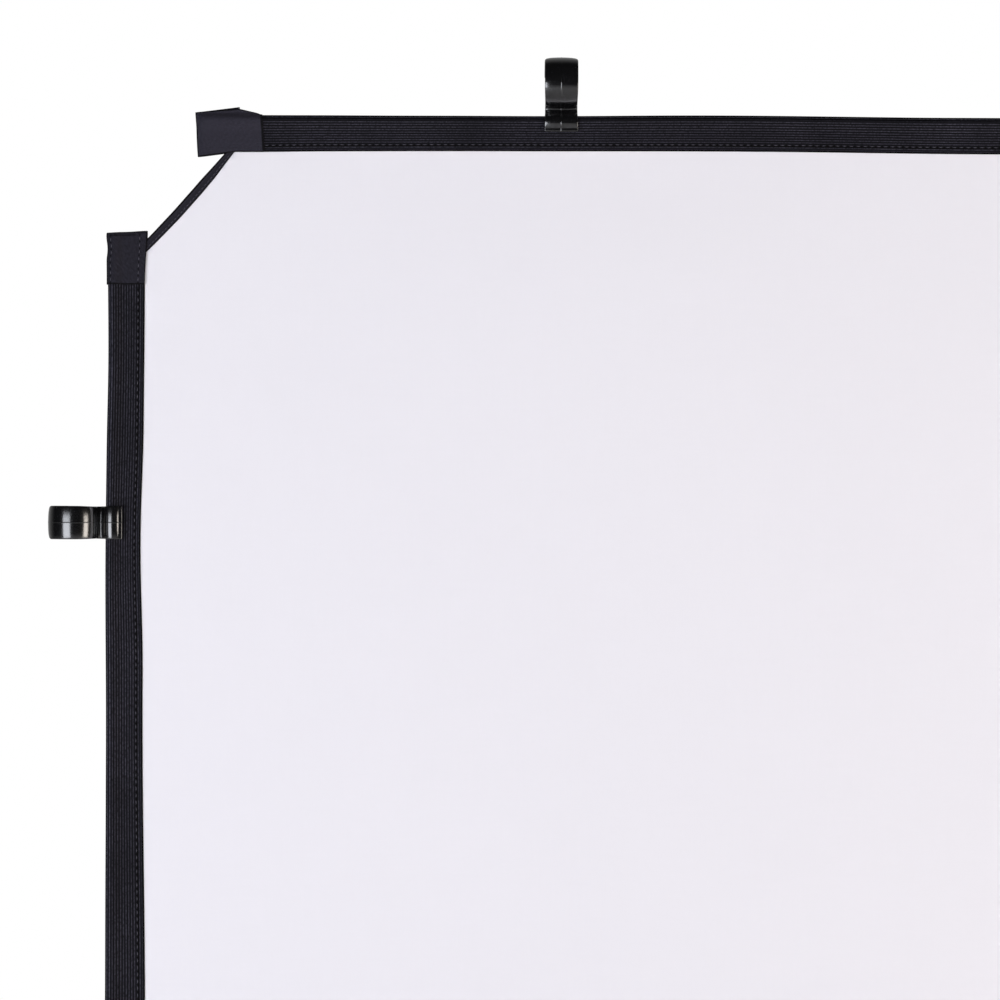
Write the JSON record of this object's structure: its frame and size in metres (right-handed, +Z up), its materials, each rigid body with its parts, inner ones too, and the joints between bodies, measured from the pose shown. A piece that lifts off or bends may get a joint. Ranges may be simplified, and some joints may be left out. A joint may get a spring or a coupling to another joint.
{
  "type": "clip-on diffuser cover",
  "caption": "Square white diffusion sheet with cut-off corners, black ribbed elastic hems round stiffening rods, folded webbing end pockets and swivelling snap clips for a 28 mm frame tube.",
  "frame": {"origin": "middle of the sheet, halfway between the clips of opposite sides and at mid-thickness of the hems", "axes": "+X to the right, +Y away from the viewer towards the back, where the clips' mouths open, +Z up along the sheet"},
  "size_m": [1.1064, 0.0344, 1.1064],
  "materials": {
    "diffusion_fabric": "plain woven white nylon, matt",
    "ribbed_elastic": "black woven elastic with fine cross ribs",
    "glass_fibre_rod": "pultruded glass fibre, satin",
    "rod_cap_vinyl": "soft dipped vinyl",
    "twill_webbing": "black twill webbing, matt",
    "binding_tape": "black grosgrain tape, folded and stitched",
    "moulded_nylon": "glossy black injection moulding"
  },
  "bodies": {
    "cover": {"fabric_panel": "diffusion_fabric", "hem_band_top": "ribbed_elastic", "hem_band_bottom": "ribbed_elastic", "hem_band_left": "ribbed_elastic", "hem_band_right": "ribbed_elastic", "hem_rod_top": "glass_fibre_rod", "hem_rod_bottom": "glass_fibre_rod", "hem_rod_left": "glass_fibre_rod", "hem_rod_right": "glass_fibre_rod", "rod_cap_top_left": "rod_cap_vinyl", "rod_cap_top_right": "rod_cap_vinyl", "rod_cap_bottom_left": "rod_cap_vinyl", "rod_cap_bottom_right": "rod_cap_vinyl", "rod_cap_left_upper": "rod_cap_vinyl", "rod_cap_right_upper": "rod_cap_vinyl", "rod_cap_left_lower": "rod_cap_vinyl", "rod_cap_right_lower": "rod_cap_vinyl", "end_pocket_top_left": "twill_webbing", "end_pocket_top_right": "twill_webbing", "end_pocket_bottom_left": "twill_webbing", "end_pocket_bottom_right": "twill_webbing", "end_pocket_left_upper": "twill_webbing", "end_pocket_right_upper": "twill_webbing", "end_pocket_left_lower": "twill_webbing", "end_pocket_right_lower": "twill_webbing", "corner_tape_top_left": "binding_tape", "corner_tape_top_right": "binding_tape", "corner_tape_bottom_left": "binding_tape", "corner_tape_bottom_right": "binding_tape"},
    "clip_top_left": {"clip_top_left": "moulded_nylon"},
    "clip_top_right": {"clip_top_right": "moulded_nylon"},
    "clip_bottom_left": {"clip_bottom_left": "moulded_nylon"},
    "clip_bottom_right": {"clip_bottom_right": "moulded_nylon"},
    "clip_left_upper": {"clip_left_upper": "moulded_nylon"},
    "clip_right_upper": {"clip_right_upper": "moulded_nylon"},
    "clip_left_lower": {"clip_left_lower": "moulded_nylon"},
    "clip_right_lower": {"clip_right_lower": "moulded_nylon"}
  },
  "joints": [
    {"name": "clip_swivel_top_left", "type": "hinge", "parent": "cover", "child": "clip_top_left", "pos_m": [-0.2075, 0, 0.5095], "axis": [1, 0, 0], "range_deg": [-20, 20]},
    {"name": "clip_swivel_top_right", "type": "hinge", "parent": "cover", "child": "clip_top_right", "pos_m": [0.2075, 0, 0.5095], "axis": [1, 0, 0], "range_deg": [-20, 20]},
    {"name": "clip_swivel_bottom_left", "type": "hinge", "parent": "cover", "child": "clip_bottom_left", "pos_m": [-0.2075, 0, -0.5095], "axis": [1, 0, 0], "range_deg": [-20, 20]},
    {"name": "clip_swivel_bottom_right", "type": "hinge", "parent": "cover", "child": "clip_bottom_right", "pos_m": [0.2075, 0, -0.5095], "axis": [1, 0, 0], "range_deg": [-20, 20]},
    {"name": "clip_swivel_left_upper", "type": "hinge", "parent": "cover", "child": "clip_left_upper", "pos_m": [-0.5095, 0, 0.2375], "axis": [0, 0, 1], "range_deg": [-20, 20]},
    {"name": "clip_swivel_right_upper", "type": "hinge", "parent": "cover", "child": "clip_right_upper", "pos_m": [0.5095, 0, 0.2375], "axis": [0, 0, 1], "range_deg": [-20, 20]},
    {"name": "clip_swivel_left_lower", "type": "hinge", "parent": "cover", "child": "clip_left_lower", "pos_m": [-0.5095, 0, -0.2375], "axis": [0, 0, 1], "range_deg": [-20, 20]},
    {"name": "clip_swivel_right_lower", "type": "hinge", "parent": "cover", "child": "clip_right_lower", "pos_m": [0.5095, 0, -0.2375], "axis": [0, 0, 1], "range_deg": [-20, 20]}
  ]
}
